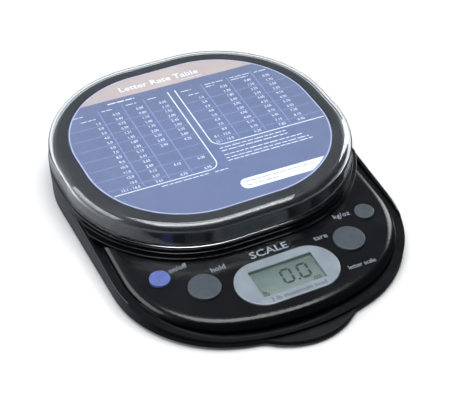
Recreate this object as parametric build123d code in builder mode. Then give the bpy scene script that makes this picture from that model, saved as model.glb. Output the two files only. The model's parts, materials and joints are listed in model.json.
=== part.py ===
"""Flat electronic letter scale: a black two-shell housing with a sloping control panel, a strain-gauge
beam inside, and a clear lift-off tray that holds a rate card over the weighing platform.

Millimetres. +Z up, +Y towards the back, +X to the user's right. The origin is on the table, under the
middle of the footprint. The tray, card, platform and plinth share one plan: a small core rectangle grown
outwards by a radius. The control panel slopes down to the front and is slightly crowned from side to side.
"""

import os
from math import atan2, cos, degrees, radians, sin, sqrt

from build123d import *

os.makedirs("parts", exist_ok=True)

# ---------------------------------------------------------------- driving dimensions

# heights above the table
FOOT_DROP = 1.5
BASE_Z = FOOT_DROP
FLOOR_Z = 3.5
PARTING_Z = 4.2
DECK_Z = 18.2
TRAY_RIM_Z = 19.2
CARD_Z = 29.0
TOP_Z = 31.0

# shared plan of the tray family
TRAY_Y = 27.5
CORE_X = 26.0
CORE_Y = 13.6
TRAY_R = 57.5
TRAY_T = 1.8
TRAY_SHOULDER = 5.0
PLINTH_R = 56.6
CARD_R = 47.3
CARD_T = 0.6
CARD_GAP = 0.2

# plan of the console in front of the tray
HALF_WIDTH = CORE_X / 2 + PLINTH_R
CORNER_R = 52.0
FRONT_R = 110.0
FRONT_TIP_Y = -85.5
FRONT_Y = FRONT_TIP_Y + FRONT_R
CORNER_X = HALF_WIDTH - CORNER_R
CORNER_Y = FRONT_Y - sqrt((FRONT_R - CORNER_R) ** 2 - CORNER_X**2)
TANGENT_DEG = degrees(atan2(FRONT_Y - CORNER_Y, CORNER_X))

# finger lip of the lower housing
LIP_R = 33.6
LIP_TIP_Y = -91.8
LIP_Y = LIP_TIP_Y + LIP_R
LIP_BLEND = 7.0
LIP_BEAD = 1.2
LIP_DISH = 0.4

# shells
WALL = 2.2
DRAFT_DEG = 3.0
PLATEAU_INSET = 3.8
PLATEAU_ROLL = 4.4
CREST_W = 1.5
CREST_ROLL = 0.9
MOAT_DEPTH = 1.3
SHOULDER_TILT = 4.4
SHOULDER = Plane(
    origin=(0, -11.1, 12.3),
    x_dir=(1, 0, 0),
    z_dir=(0, -sin(radians(SHOULDER_TILT)), cos(radians(SHOULDER_TILT))),
)
COLLAR_STEPS = ((60.0, 15.0), (58.2, 16.6))
COLLAR_INSET = 0.6
TONGUE_T = 1.2
TONGUE_Z = 5.8
TONGUE_INSET = PLATEAU_INSET + WALL + 0.2
SCOOP_RISE = 0.7
SCOOP_HALF = 20.0
SCOOP_RECESS = 0.7
SCOOP_R = (SCOOP_HALF**2 + SCOOP_RISE**2) / (2 * SCOOP_RISE)
HOUSING_SCREWS = [(x * side, y) for x, y in ((24, -72.5), (59, -6.5), (38, 74.5)) for side in (-1, 1)]
BOSS_R = 3.5
SCREW_R = 1.2
SCREW_SEAT_Z = 3.6
FEET = [(x * side, y) for x, y in ((46, -56.5), (52, 59.5)) for side in (-1, 1)]
FOOT_R = 6.0
FOOT_SEAT = 0.8

# control panel
DISPLAY_Y = -60.6
PANEL_Z = 12.9
PANEL_TILT = 3.1
CROWN_R = 1200.0
PANEL = Plane(
    origin=(0, DISPLAY_Y, PANEL_Z),
    x_dir=(1, 0, 0),
    z_dir=(0, -sin(radians(PANEL_TILT)), cos(radians(PANEL_TILT))),
)
BEZEL = (49.4, 25.6)
BEZEL_T = 1.4
BEZEL_SEAT = 0.9
WINDOW = (31.2, 15.9)
LENS_T = 1.1
LCD = (37.0, 20.5)
LCD_DEPTH = 1.7
LCD_T = 2.0
BOARD_DEPTH = 6.5
BOARD_T = 1.2
BOARD_INSET = 14.2
BOARD_BACK_Y = -31.5
BOARD_SCREWS = [(x * side, y) for x, y in ((22, -36.5), (27.5, -64.5)) for side in (-1, 1)]
BUTTON_RISE = 1.1
BUTTON_GAP = 0.3
FLANGE_DEPTH = WALL + 0.35
FLANGE_T = 0.6
SWITCH = (6.0, 6.0, 1.6)
PLUNGER_R = 1.5
PLUNGER_DEPTH = 4.4
PLUNGER_L = 1.1
BUTTONS = {
    "power": (-51.2, -39.4, 4.7),
    "hold": (-35.8, -52.1, 7.4),
    "tare": (35.8, -52.1, 7.4),
    "unit": (51.2, -39.4, 4.7),
}

# weighing system
CELL = (12.0, 56.0, 8.0)
CELL_Z = 6.5
CELL_FREE_Y = TRAY_Y - 22.0
CELL_FIXED_Y = TRAY_Y + 22.0
CELL_TOP_Z = CELL_Z + CELL[2]
PEDESTAL_Z = CELL_Z - 1.0
PLATFORM_R = 55.0
PLATFORM_SHOULDER = 3.8
CARD_POCKET = 0.5
POCKET_GAP = 0.3
PLATFORM_RIM_Z = 19.8
PLATFORM_T = 1.8
PLATFORM_TOP_Z = CARD_Z - CARD_T
PLATFORM_GAP = 0.5
PLATFORM_SEAT_Z = 17.2
SCREW_PITCH = 8.0

# battery bay
BAY = (49.0, 22.0)
BAY_Y = 73.0
BAY_TOP_Z = 14.6
BAY_T = 1.2
BATTERY_R = 5.25
BATTERY_L = 43.0
BATTERY_Z = 9.2
BATTERY_PITCH = 10.8
DOOR_HALF = 26.3
DOOR_FRONT_Y = 61.0
DOOR_T = 1.6
DOOR_GAP = 0.2
RAIL_W = 0.8
FLANGE_HALF = 30.0
CONTACT_T = 0.4
CONTACT_X = BAY[0] / 2 - CONTACT_T
NUB_L = 0.9
COIL_WIRE_R = 0.3

# ---------------------------------------------------------------- shared outlines and forms


def tray_plan(radius, mode=Mode.ADD):
    """Draws the tray family's plan, grown to a radius, in the open sketch."""
    with Locations((0, TRAY_Y)):
        RectangleRounded(CORE_X + 2 * radius, CORE_Y + 2 * radius, radius, mode=mode)


def console_plan(inset=0.0, mode=Mode.ADD):
    """Draws the console's plan: straight sides, round corners and a bowed front, closed under the tray."""
    side = HALF_WIDTH - inset
    corner = CORNER_R - inset
    front = FRONT_R - inset
    with BuildLine() as outline:
        Line((-side, TRAY_Y), (-side, CORNER_Y))
        CenterArc((-CORNER_X, CORNER_Y), corner, 180, TANGENT_DEG)
        CenterArc((0, FRONT_Y), front, 180 + TANGENT_DEG, 180 - 2 * TANGENT_DEG)
        CenterArc((CORNER_X, CORNER_Y), corner, -TANGENT_DEG, TANGENT_DEG)
        Line((side, CORNER_Y), (side, TRAY_Y))
        Line((side, TRAY_Y), (-side, TRAY_Y))
    make_face(outline.edges(), mode=mode)


def footprint(inset=0.0, mode=Mode.ADD):
    """Draws the whole footprint: the console and the plinth behind it."""
    console_plan(inset, mode=mode)
    tray_plan(PLINTH_R - inset, mode=mode)


def tongue_plan(inset=0.0, mode=Mode.ADD):
    """Draws the line along which the two shells interlock."""
    console_plan(TONGUE_INSET + inset, mode=mode)
    tray_plan(PLINTH_R - WALL - 0.3 - inset, mode=mode)


def under_panel(drop):
    """All that lies under the crowned panel surface lowered by drop."""
    half = 90.0
    deep = 40.0
    edge_drop = drop + crown_sag(half)
    # this plane's own y axis points down into the panel
    start = Plane(origin=PANEL.from_local_coords((0, -half, 0)), x_dir=(1, 0, 0), z_dir=PANEL.y_dir)
    with BuildPart() as slab:
        with BuildSketch(start):
            with BuildLine():
                ThreePointArc((-half, edge_drop), (0, drop), (half, edge_drop))
                Polyline((half, edge_drop), (half, deep), (-half, deep), (-half, edge_drop))
            make_face()
        extrude(amount=260)
    return slab.part


def plateau(inset, drop, roll):
    """The raised panel as a solid block whose top edge rolls over into its walls."""
    with BuildPart() as block:
        with BuildSketch(Plane.XY.offset(BASE_Z)):
            console_plan(inset)
        extrude(amount=30)
        add(under_panel(drop), mode=Mode.INTERSECT)
        rim = block.faces().sort_by(Axis.Z)[-1].edges().sort_by(Axis.Y)
        fillet(rim[:-1], roll)
    return block.part


def scoop(gap):
    """The arched space under the front wall, less a gap all round it."""
    with BuildPart() as space:
        with BuildSketch(Plane.XZ.offset(-FRONT_TIP_Y - 8)):
            with Locations((0, PARTING_Z + SCOOP_RISE - SCOOP_R)):
                Circle(SCOOP_R - gap)
        extrude(amount=20)
    return space.part


def screw(seat, head_r, head_h, shank_r, length):
    """Adds a pan-head cross-recess screw: the head sits against the seat plane, the shank follows its normal."""
    with BuildSketch(seat) as shank:
        Circle(shank_r)
    extrude(shank.sketch, amount=length)
    with BuildSketch(seat) as head:
        Circle(head_r)
    extrude(head.sketch, amount=-head_h)
    with BuildSketch(seat.offset(-head_h)) as recess:
        Rectangle(head_r * 1.2, head_r * 0.28)
        Rectangle(head_r * 0.28, head_r * 1.2)
    extrude(recess.sketch, amount=head_h * 0.55, mode=Mode.SUBTRACT)


def wire(points, radii, radius):
    """Adds a round wire along straight runs joined by arcs."""
    with BuildLine() as route:
        path = FilletPolyline(*points, radius=radii)
    with BuildSketch(Plane(origin=path @ 0, z_dir=path % 0)) as section:
        Circle(radius)
    sweep(section.sketch, path=route.line)


def on_panel(x, y, depth=0.0):
    """A plane parallel to the panel, over a plan position, at a depth under the middle of the panel."""
    slope_y = (y - DISPLAY_Y) / cos(radians(PANEL_TILT))
    origin = PANEL.from_local_coords((x, slope_y, -depth))
    return Plane(origin=origin, x_dir=(1, 0, 0), z_dir=PANEL.z_dir)


def chips(places, size):
    """Adds rectangular components to the top of the board."""
    for x, y in places:
        with BuildSketch(on_panel(x, y, BOARD_DEPTH)) as chip:
            Rectangle(size[0], size[1])
        extrude(chip.sketch, amount=size[2])


def crown_sag(x):
    """How far the crowned panel surface lies under its own middle line at x."""
    return x**2 / (2 * CROWN_R)


def finish(builder, label):
    """Names a finished piece and writes it."""
    builder.part.label = label
    export_step(builder.part, f"parts/{label}.step")


# ---------------------------------------------------------------- upper housing

with BuildPart() as shoulder:
    with BuildSketch(Plane.XY.offset(BASE_Z)):
        console_plan()
    extrude(amount=14, taper=-DRAFT_DEG)
    with BuildSketch(SHOULDER):
        Rectangle(300, 400)
    extrude(amount=40, mode=Mode.SUBTRACT)
    rim = shoulder.faces().sort_by(Axis.Z)[-1].edges().sort_by(Axis.Y)
    fillet(rim[:-1], CREST_ROLL)
    with BuildSketch(SHOULDER.offset(-MOAT_DEPTH)):
        console_plan(CREST_W)
    extrude(amount=10, mode=Mode.SUBTRACT)

with BuildPart() as plinth:
    with BuildSketch(Plane.XY.offset(BASE_Z)):
        tray_plan(PLINTH_R)
    extrude(amount=DECK_Z - BASE_Z, taper=-DRAFT_DEG)
    fillet(plinth.faces().sort_by(Axis.Z)[-1].edges(), 0.6)

with BuildPart() as collar:
    for radius, top in COLLAR_STEPS:
        with BuildSketch(Plane.XY.offset(BASE_Z)):
            tray_plan(radius)
            console_plan(COLLAR_INSET, mode=Mode.INTERSECT)
        extrude(amount=top - BASE_Z)
        fillet(collar.edges().group_by(Axis.Z)[-1].filter_by(GeomType.CIRCLE), 0.35)

with BuildPart() as housing_form:
    add(shoulder.part)
    add(plateau(PLATEAU_INSET, 0, PLATEAU_ROLL))
    add(collar.part)
    add(plinth.part)

with BuildPart() as bosses:
    for x, y in HOUSING_SCREWS:
        with BuildSketch(Plane((x, y, TONGUE_Z + 0.2))):
            Circle(BOSS_R)
        extrude(amount=30)
    for x, y in BOARD_SCREWS:
        with BuildSketch(on_panel(x, y, BOARD_DEPTH)):
            Circle(2.6)
        extrude(amount=BOARD_DEPTH)
    add(housing_form.part, mode=Mode.INTERSECT)

with BuildPart() as upper_housing:
    add(housing_form.part)
    split(bisect_by=Plane.XY.offset(PARTING_Z), keep=Keep.TOP)
    add(plateau(PLATEAU_INSET + WALL, WALL, 1.5), mode=Mode.SUBTRACT)
    with BuildSketch(Plane.XY.offset(PARTING_Z)):
        tray_plan(PLINTH_R - WALL)
    extrude(amount=DECK_Z - WALL - PARTING_Z, mode=Mode.SUBTRACT)
    add(bosses.part)
    # pilot holes for the housing and board screws
    for x, y in HOUSING_SCREWS:
        with BuildSketch(Plane((x, y, TONGUE_Z))):
            Circle(SCREW_R + 0.05)
        extrude(amount=4.8, mode=Mode.SUBTRACT)
    for x, y in BOARD_SCREWS:
        with BuildSketch(on_panel(x, y, BOARD_DEPTH)):
            Circle(0.95)
        extrude(amount=3.6, mode=Mode.SUBTRACT)
    # seat of the display bezel and the opening that the display comes up through
    with BuildSketch(PANEL.offset(-BEZEL_SEAT)):
        SlotOverall(BEZEL[0] + 0.3, BEZEL[1] + 0.3)
    extrude(amount=5, mode=Mode.SUBTRACT)
    with BuildSketch(PANEL.offset(-4)):
        Rectangle(LCD[0] + 1.2, LCD[1] + 1.2)
    extrude(amount=5, mode=Mode.SUBTRACT)
    for x, y, r in BUTTONS.values():
        with BuildSketch(on_panel(x, y, 5)):
            Circle(r + BUTTON_GAP)
        extrude(amount=8, mode=Mode.SUBTRACT)
    # opening in the deck for the platform's boss
    with BuildSketch(Plane.XY.offset(DECK_Z - 6)):
        with Locations((0, CELL_FREE_Y)):
            RectangleRounded(21, 22, 3)
    extrude(amount=10, mode=Mode.SUBTRACT)
    # the front wall's lower edge arches up over the lip
    add(scoop(0), mode=Mode.SUBTRACT)
finish(upper_housing, "upper_housing")

# ---------------------------------------------------------------- lower housing

with BuildPart() as shell_form:
    with BuildSketch(Plane.XY.offset(BASE_Z)) as outline:
        footprint(-0.1)
        with Locations((0, LIP_Y)):
            Circle(LIP_R)
        fillet(outline.vertices().filter_by_position(Axis.Y, -84.5, -82), LIP_BLEND)
    extrude(amount=PARTING_Z - BASE_Z)
    chamfer(shell_form.faces().sort_by(Axis.Z)[0].edges(), 0.5)

with BuildPart() as door_space:
    with BuildSketch(Plane.XY):
        with Locations((0, DOOR_FRONT_Y)):
            Rectangle(2 * DOOR_HALF, 60, align=(Align.CENTER, Align.MIN))
    extrude(amount=BASE_Z + DOOR_T + DOOR_GAP)
    with BuildSketch(Plane.XY.offset(2.0 - DOOR_GAP)):
        with Locations((0, DOOR_FRONT_Y)):
            Rectangle(2 * (DOOR_HALF + RAIL_W), 60, align=(Align.CENTER, Align.MIN))
    extrude(amount=0.6 + 2 * DOOR_GAP)
    with BuildSketch(Plane.XY):
        with Locations((0, DOOR_FRONT_Y)):
            Rectangle(2 * DOOR_HALF, 60, align=(Align.CENTER, Align.MIN))
        tongue_plan(mode=Mode.SUBTRACT)
    extrude(amount=10)

with BuildPart() as scoop_wall:
    with BuildSketch(Plane.XY.offset(FLOOR_Z)):
        console_plan(SCOOP_RECESS)
        console_plan(SCOOP_RECESS + 2, mode=Mode.SUBTRACT)
    extrude(amount=10)
    add(scoop(0.12), mode=Mode.INTERSECT)
    with BuildSketch(Plane.XY.offset(FLOOR_Z)):
        with Locations((0, FRONT_TIP_Y)):
            Rectangle(2 * SCOOP_HALF, 30)
    extrude(amount=10, mode=Mode.INTERSECT)

with BuildPart() as lower_housing:
    add(shell_form.part)
    with BuildSketch(Plane.XY.offset(FLOOR_Z)):
        tongue_plan(TONGUE_T)
    extrude(amount=10, mode=Mode.SUBTRACT)
    with BuildSketch(Plane.XY.offset(FLOOR_Z)):
        tongue_plan()
        tongue_plan(TONGUE_T, mode=Mode.SUBTRACT)
    extrude(amount=TONGUE_Z - FLOOR_Z)
    # dished top of the finger lip, and the wall that closes the scoop over it
    with BuildSketch(Plane.XY.offset(PARTING_Z - LIP_DISH)):
        with Locations((0, LIP_Y)):
            Circle(LIP_R - LIP_BEAD)
        console_plan(3, mode=Mode.SUBTRACT)
    extrude(amount=2, mode=Mode.SUBTRACT)
    add(scoop_wall.part)
    # bosses for the housing screws, driven from below
    for x, y in HOUSING_SCREWS:
        with BuildSketch(Plane((x, y, FLOOR_Z))):
            Circle(BOSS_R + 0.1)
        extrude(amount=TONGUE_Z - FLOOR_Z)
        with BuildSketch(Plane((x, y, 0))):
            Circle(2.9)
        extrude(amount=SCREW_SEAT_Z, mode=Mode.SUBTRACT)
        with BuildSketch(Plane((x, y, 0))):
            Circle(SCREW_R + 0.3)
        extrude(amount=10, mode=Mode.SUBTRACT)
    for x, y in FEET:
        with BuildSketch(Plane((x, y, 0))):
            Circle(FOOT_R + 0.1)
        extrude(amount=BASE_Z + FOOT_SEAT, mode=Mode.SUBTRACT)
    # pedestal of the load cell and post of its overload stop
    with BuildSketch(Plane.XY.offset(FLOOR_Z)):
        with Locations((0, CELL_FIXED_Y)):
            RectangleRounded(CELL[0] + 2, 17, 1.5)
    extrude(amount=PEDESTAL_Z - FLOOR_Z)
    for y in (CELL_FIXED_Y - SCREW_PITCH / 2, CELL_FIXED_Y + SCREW_PITCH / 2):
        with BuildSketch(Plane((0, y, 0))):
            Circle(2.9)
        extrude(amount=SCREW_SEAT_Z, mode=Mode.SUBTRACT)
        with BuildSketch(Plane((0, y, 0))):
            Circle(1.6)
        extrude(amount=10, mode=Mode.SUBTRACT)
    with BuildSketch(Plane((0, CELL_FREE_Y, FLOOR_Z - 0.5))):
        Circle(4)
    extrude(amount=1.5)
    with BuildSketch(Plane((0, CELL_FREE_Y, 0))):
        Circle(1.5)
    extrude(amount=10, mode=Mode.SUBTRACT)
    # battery bay, open below, and the slot for its door
    with BuildSketch(Plane.XY.offset(FLOOR_Z - 0.3)):
        with Locations((0, DOOR_FRONT_Y - 3)):
            Rectangle(2 * FLANGE_HALF, 60, align=(Align.CENTER, Align.MIN))
        tray_plan(PLINTH_R - WALL - 0.5, mode=Mode.INTERSECT)
    extrude(amount=1.5)
    with BuildSketch(Plane.XY.offset(FLOOR_Z)):
        with Locations((0, BAY_Y)):
            Rectangle(BAY[0] + 2 * BAY_T, BAY[1] + 2 * BAY_T)
    extrude(amount=BAY_TOP_Z + BAY_T - FLOOR_Z)
    with BuildSketch(Plane.XY):
        with Locations((0, BAY_Y)):
            Rectangle(*BAY)
    extrude(amount=BAY_TOP_Z, mode=Mode.SUBTRACT)
    add(door_space.part, mode=Mode.SUBTRACT)
finish(lower_housing, "lower_housing")

with BuildPart() as battery_door:
    add(shell_form.part)
    with BuildSketch(Plane.XY):
        with Locations((0, DOOR_FRONT_Y + DOOR_GAP)):
            Rectangle(2 * (DOOR_HALF - DOOR_GAP), 60, align=(Align.CENTER, Align.MIN))
    extrude(amount=PARTING_Z - 0.15, mode=Mode.INTERSECT)
    with BuildSketch(Plane.XY.offset(BASE_Z + DOOR_T)):
        tongue_plan(-DOOR_GAP)
    extrude(amount=10, mode=Mode.SUBTRACT)
    for side in (-1, 1):
        with BuildSketch(Plane((side * (DOOR_HALF - DOOR_GAP), DOOR_FRONT_Y + 1, 2.0))):
            Rectangle(2 * (RAIL_W - 0.2), 17, align=(Align.CENTER, Align.MIN))
        extrude(amount=0.6)
    # finger grooves that push the door out
    for step in range(4):
        with BuildSketch(Plane.XY.offset(BASE_Z)):
            with Locations((0, DOOR_FRONT_Y + 5 + 2.2 * step)):
                SlotOverall(14 - 2 * step, 1.0)
        extrude(amount=0.5, mode=Mode.SUBTRACT)
finish(battery_door, "battery_door")

with BuildPart() as housing_screws:
    for x, y in HOUSING_SCREWS:
        screw(Plane((x, y, SCREW_SEAT_Z)), 2.5, 1.5, SCREW_R, 6.6)
finish(housing_screws, "housing_screws")

with BuildPart() as rubber_feet:
    for x, y in FEET:
        with BuildSketch(Plane((x, y, 0))):
            Circle(FOOT_R)
        extrude(amount=BASE_Z + FOOT_SEAT)
    chamfer(rubber_feet.edges().group_by(Axis.Z)[0], 0.5)
finish(rubber_feet, "rubber_feet")

# ---------------------------------------------------------------- weighing system

with BuildPart() as load_cell:
    with BuildSketch(Plane.XY.offset(CELL_Z)):
        with Locations((0, TRAY_Y)):
            Rectangle(CELL[0], CELL[1])
    extrude(amount=CELL[2])
    # binocular cut-out that leaves four thin flexures
    with BuildSketch(Plane.YZ.offset(-CELL[0])):
        with Locations((TRAY_Y - 6.5, CELL_Z + CELL[2] / 2), (TRAY_Y + 6.5, CELL_Z + CELL[2] / 2)):
            Circle(3.2)
        with Locations((TRAY_Y, CELL_Z + CELL[2] / 2)):
            Rectangle(13, 2.4)
    extrude(amount=2 * CELL[0], mode=Mode.SUBTRACT)
    for y in (CELL_FREE_Y, CELL_FIXED_Y):
        with BuildSketch(Plane((0, y, 0))):
            with GridLocations(0, SCREW_PITCH, 1, 2):
                Circle(1.6)
        extrude(amount=20, mode=Mode.SUBTRACT)
finish(load_cell, "load_cell")

with BuildPart() as cell_spacer:
    with BuildSketch(Plane.XY.offset(PEDESTAL_Z)):
        with Locations((0, CELL_FIXED_Y)):
            Rectangle(CELL[0], 15)
            with GridLocations(0, SCREW_PITCH, 1, 2):
                Circle(1.6, mode=Mode.SUBTRACT)
    extrude(amount=CELL_Z - PEDESTAL_Z)
finish(cell_spacer, "cell_spacer")

with BuildPart() as cell_screws:
    for y in (CELL_FIXED_Y - SCREW_PITCH / 2, CELL_FIXED_Y + SCREW_PITCH / 2):
        screw(Plane((0, y, SCREW_SEAT_Z)), 2.7, 1.6, 1.5, 9)
finish(cell_screws, "cell_screws")

with BuildPart() as overload_stop:
    with BuildSketch(Plane((0, CELL_FREE_Y, BASE_Z + 0.4))):
        Circle(1.45)
    extrude(amount=CELL_Z - 0.6 - BASE_Z - 0.4)
    with BuildSketch(Plane((0, CELL_FREE_Y, BASE_Z + 0.4))):
        RegularPolygon(0.8, 6)
    extrude(amount=1.2, mode=Mode.SUBTRACT)
finish(overload_stop, "overload_stop")

with BuildPart() as strain_gauges:
    for z in (CELL_TOP_Z, CELL_Z - 0.15):
        with BuildSketch(Plane.XY.offset(z)):
            with Locations((0, TRAY_Y - 6.5), (0, TRAY_Y + 6.5)):
                RectangleRounded(6, 4, 0.4)
        extrude(amount=0.15)
finish(strain_gauges, "strain_gauges")

with BuildPart() as platform:
    with BuildSketch(Plane.XY.offset(PLATFORM_RIM_Z)):
        tray_plan(PLATFORM_R)
    extrude(amount=PLATFORM_TOP_Z + CARD_POCKET - PLATFORM_RIM_Z)
    fillet(platform.faces().sort_by(Axis.Z)[-1].edges(), PLATFORM_SHOULDER)
    # shallow pocket that the card drops into
    with BuildSketch(Plane.XY.offset(PLATFORM_TOP_Z)):
        tray_plan(CARD_R + POCKET_GAP)
    extrude(amount=5, mode=Mode.SUBTRACT)
    with BuildPart(mode=Mode.PRIVATE) as platform_hollow:
        with BuildSketch(Plane.XY.offset(PLATFORM_RIM_Z - 1)):
            tray_plan(PLATFORM_R - PLATFORM_T)
        extrude(amount=PLATFORM_TOP_Z - PLATFORM_T - PLATFORM_RIM_Z + 1)
        fillet(platform_hollow.faces().sort_by(Axis.Z)[-1].edges(), PLATFORM_SHOULDER - PLATFORM_T)
    add(platform_hollow.part, mode=Mode.SUBTRACT)
    # stiffening ribs and the boss that stands on the load cell
    with BuildSketch(Plane.XY.offset(PLATFORM_RIM_Z + 2)):
        with Locations((0, TRAY_Y)):
            Rectangle(2 * (PLATFORM_R - PLATFORM_SHOULDER) + CORE_X, 1.6)
            with Locations((-18, 0), (18, 0)):
                Rectangle(1.6, 2 * PLATFORM_R)
    extrude(amount=PLATFORM_TOP_Z - PLATFORM_T - PLATFORM_RIM_Z - 2)
    with BuildSketch(Plane.XY.offset(CELL_TOP_Z + PLATFORM_GAP)):
        with Locations((0, CELL_FREE_Y)):
            RectangleRounded(13, 18, 2)
    extrude(amount=PLATFORM_TOP_Z - PLATFORM_T - CELL_TOP_Z - PLATFORM_GAP)
    for y in (CELL_FREE_Y - SCREW_PITCH / 2, CELL_FREE_Y + SCREW_PITCH / 2):
        with BuildSketch(Plane((0, y, PLATFORM_SEAT_Z))):
            Circle(2.9)
        extrude(amount=20, mode=Mode.SUBTRACT)
        with BuildSketch(Plane((0, y, 0))):
            Circle(1.6)
        extrude(amount=30, mode=Mode.SUBTRACT)
finish(platform, "platform")

with BuildPart() as platform_screws:
    for y in (CELL_FREE_Y - SCREW_PITCH / 2, CELL_FREE_Y + SCREW_PITCH / 2):
        screw(Plane((0, y, PLATFORM_SEAT_Z), z_dir=(0, 0, -1)), 2.6, 1.6, 1.4, 8.5)
finish(platform_screws, "platform_screws")

with BuildPart() as rate_card:
    with BuildSketch(Plane.XY.offset(CARD_Z - CARD_T)):
        tray_plan(CARD_R)
    extrude(amount=CARD_T)
finish(rate_card, "rate_card")

with BuildPart() as clear_tray:
    with BuildSketch(Plane.XY.offset(TRAY_RIM_Z)):
        tray_plan(TRAY_R)
    extrude(amount=TOP_Z - TRAY_RIM_Z)
    fillet(clear_tray.faces().sort_by(Axis.Z)[-1].edges(), TRAY_SHOULDER)
    with BuildPart(mode=Mode.PRIVATE) as tray_hollow:
        with BuildSketch(Plane.XY.offset(TRAY_RIM_Z - 1)):
            tray_plan(TRAY_R - TRAY_T)
        extrude(amount=CARD_Z + CARD_GAP - TRAY_RIM_Z + 1)
        fillet(tray_hollow.faces().sort_by(Axis.Z)[-1].edges(), TRAY_SHOULDER - TRAY_T)
    add(tray_hollow.part, mode=Mode.SUBTRACT)
finish(clear_tray, "clear_tray")

# ---------------------------------------------------------------- display and buttons

with BuildPart() as display_bezel:
    with BuildSketch(PANEL.offset(-BEZEL_SEAT)):
        SlotOverall(*BEZEL)
        RectangleRounded(*WINDOW, 0.6, mode=Mode.SUBTRACT)
    extrude(amount=BEZEL_T)
    fillet(display_bezel.faces().sort_by(Axis.Z)[-1].outer_wire().edges(), 0.4)
finish(display_bezel, "display_bezel")

with BuildPart() as display_lens:
    with BuildSketch(PANEL.offset(-BEZEL_SEAT)):
        RectangleRounded(WINDOW[0] - 0.1, WINDOW[1] - 0.1, 0.6)
    extrude(amount=LENS_T)
finish(display_lens, "display_lens")

with BuildPart() as lcd_glass:
    with BuildSketch(PANEL.offset(-LCD_DEPTH)):
        Rectangle(*LCD)
    extrude(amount=-LCD_T)
finish(lcd_glass, "lcd_glass")

with BuildPart() as lcd_holder:
    with BuildSketch(PANEL.offset(-LCD_DEPTH - LCD_T)):
        Rectangle(LCD[0] + 1, LCD[1] + 1)
        Rectangle(LCD[0] - 4, LCD[1] - 3, mode=Mode.SUBTRACT)
    extrude(amount=LCD_DEPTH + LCD_T - BOARD_DEPTH)
finish(lcd_holder, "lcd_holder")

with BuildPart() as contact_strips:
    with BuildSketch(PANEL.offset(-LCD_DEPTH - LCD_T)):
        with GridLocations(0, 14.4, 1, 2):
            Rectangle(LCD[0] - 5, 1.8)
    extrude(amount=LCD_DEPTH + LCD_T - BOARD_DEPTH)
finish(contact_strips, "contact_strips")

for name, (x, y, r) in BUTTONS.items():
    depth = FLANGE_DEPTH + crown_sag(x)
    with BuildPart() as button:
        with BuildSketch(on_panel(x, y, depth)):
            Circle(r)
        extrude(amount=FLANGE_DEPTH + BUTTON_RISE)
        fillet(button.faces().sort_by(Axis.Z)[-1].edges(), 0.5)
        with BuildSketch(on_panel(x, y, depth)):
            Circle(r + 0.9)
        extrude(amount=-FLANGE_T)
        with BuildSketch(on_panel(x, y, depth + FLANGE_T)):
            Circle(PLUNGER_R)
        extrude(amount=depth + FLANGE_T - PLUNGER_DEPTH)
    finish(button, f"{name}_button")
    with BuildPart() as plunger:
        with BuildSketch(on_panel(x, y, PLUNGER_DEPTH)):
            Circle(PLUNGER_R)
        extrude(amount=-PLUNGER_L)
    finish(plunger, f"{name}_plunger")

# ---------------------------------------------------------------- electronics

with BuildPart() as board_slab:
    with BuildSketch(PANEL.offset(-BOARD_DEPTH)):
        Rectangle(200, 200)
    extrude(amount=-BOARD_T)

with BuildPart() as main_board:
    with BuildSketch(Plane.XY):
        console_plan(BOARD_INSET)
        with Locations((0, BOARD_BACK_Y)):
            Rectangle(200, 200, align=(Align.CENTER, Align.MIN), mode=Mode.SUBTRACT)
    extrude(amount=30)
    add(board_slab.part, mode=Mode.INTERSECT)
    for x, y in BOARD_SCREWS:
        with BuildSketch(on_panel(x, y, BOARD_DEPTH + 3)):
            Circle(1.1)
        extrude(amount=6, mode=Mode.SUBTRACT)
finish(main_board, "main_board")

with BuildPart() as board_screws:
    for x, y in BOARD_SCREWS:
        screw(on_panel(x, y, BOARD_DEPTH + BOARD_T), 1.9, 0.9, 0.9, 4.4)
finish(board_screws, "board_screws")

with BuildPart() as tact_switches:
    for x, y, r in BUTTONS.values():
        with BuildSketch(on_panel(x, y, BOARD_DEPTH)):
            Rectangle(SWITCH[0], SWITCH[1])
        extrude(amount=SWITCH[2])
        with BuildSketch(on_panel(x, y, BOARD_DEPTH - 0.3)):
            Circle(PLUNGER_R + 0.15)
        extrude(amount=SWITCH[2], mode=Mode.SUBTRACT)
finish(tact_switches, "tact_switches")

with BuildPart() as controller_chip:
    chips([(0, -41.5)], (10, 10, 1.4))
finish(controller_chip, "controller_chip")

with BuildPart() as amplifier_chip:
    chips([(-13, -41.5)], (5, 4, 1.3))
finish(amplifier_chip, "amplifier_chip")

with BuildPart() as crystal:
    with BuildSketch(on_panel(12, -44, BOARD_DEPTH)):
        SlotOverall(8, 3)
    extrude(amount=2.2)
finish(crystal, "crystal")

with BuildPart() as capacitors:
    chips([(-19, -43.5), (-19, -46.5), (18, -41.5), (-8, -36), (6.5, -35.5)], (2, 1.3, 0.8))
finish(capacitors, "capacitors")

with BuildPart() as resistors:
    chips([(-16 + 3 * step, -47) for step in range(4)] + [(18, -44.5), (18, -47)], (1.6, 0.8, 0.5))
finish(resistors, "resistors")

with BuildPart() as cable_connector:
    chips([(13, -34.5)], (7.5, 4, 3))
finish(cable_connector, "cable_connector")

with BuildPart() as cell_cable:
    wire([(6.7, 25.5, 10.5), (11, 19.5, 10.5), (15, -0.5, 9.5), (13, -20.5, 9.5), (13, -32, 9.4)], [4, 8, 8], 0.7)
finish(cell_cable, "cell_cable")

# ---------------------------------------------------------------- battery

with BuildPart() as battery_cells:
    for side in (-1, 1):
        foot_x = side * (CONTACT_X - NUB_L - BATTERY_L)
        start = Plane((foot_x, BAY_Y + side * BATTERY_PITCH / 2, BATTERY_Z), z_dir=(side, 0, 0))
        with BuildSketch(start):
            Circle(BATTERY_R)
        extrude(amount=BATTERY_L)
        with BuildSketch(start.offset(BATTERY_L)):
            Circle(1.9)
        extrude(amount=NUB_L)
finish(battery_cells, "battery_cells")

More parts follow.
